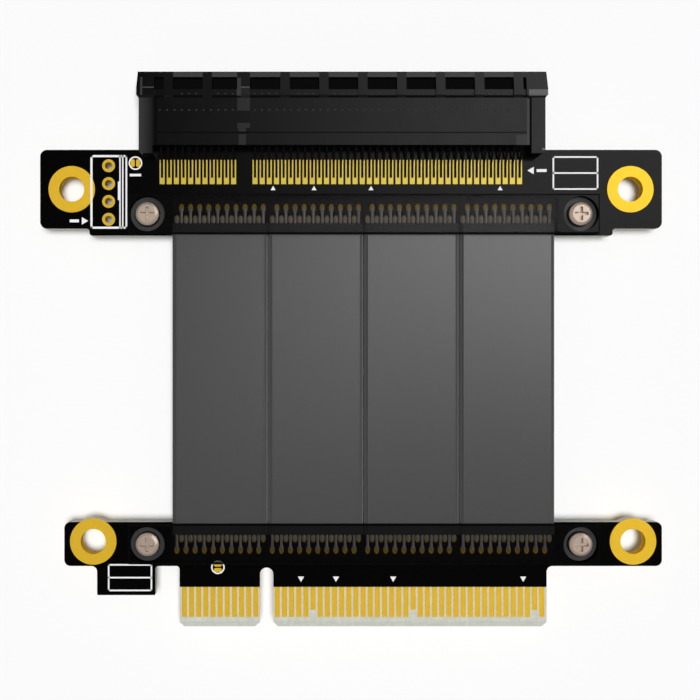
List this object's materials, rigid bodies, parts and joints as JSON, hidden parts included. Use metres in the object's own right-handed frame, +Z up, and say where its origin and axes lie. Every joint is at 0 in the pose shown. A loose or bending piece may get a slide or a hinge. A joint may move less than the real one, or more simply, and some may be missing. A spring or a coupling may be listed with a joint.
{
  "type": "pcie extension cable",
  "caption": "Short extension for a card edge: a board with plated fingers and a board with a card slot, joined by flat ribbons under screwed clear covers.",
  "frame": {"origin": "on the surface that the cable lies on, under the middle of its outline", "axes": "+X along the slot, +Y out of the slot's mouth, +Z up, away from the surface, on the side with the covers"},
  "size_m": [0.087, 0.077, 0.0086],
  "materials": {
    "black_moulding": "matt moulded, fine grain",
    "dark_contact": "dark plated spring strip",
    "board_black": "satin solder resist over glass laminate",
    "plated_gold": "satin gold plating",
    "ribbon_grey": "satin grey insulation",
    "tinned_wire": "tinned, dull",
    "smoke_clear": "smoked clear, glossy",
    "washer_grey": "dull grey",
    "screw_steel": "nickel plated, satin",
    "nut_steel": "nickel plated, satin"
  },
  "bodies": {
    "root": {"slot_housing": "black_moulding", "slot_contacts_front": "dark_contact", "slot_contacts_back": "dark_contact", "slot_board": "board_black", "card_board": "board_black", "slot_pads_front": "plated_gold", "slot_pads_back": "plated_gold", "edge_fingers_front": "plated_gold", "edge_fingers_back": "plated_gold", "slot_board_solder_pads": "plated_gold", "card_board_solder_pads": "plated_gold", "slot_board_mount_lands": "plated_gold", "card_board_mount_lands": "plated_gold", "header_lands": "plated_gold", "test_pads": "plated_gold", "ribbon_1": "ribbon_grey", "ribbon_2": "ribbon_grey", "ribbon_3": "ribbon_grey", "ribbon_4": "ribbon_grey", "slot_end_wires": "tinned_wire", "card_end_wires": "tinned_wire", "slot_cover": "smoke_clear", "card_cover": "smoke_clear", "slot_washers": "washer_grey", "card_washers": "washer_grey", "slot_screws": "screw_steel", "card_screws": "screw_steel", "slot_nuts": "nut_steel", "card_nuts": "nut_steel"}
  },
  "joints": []
}
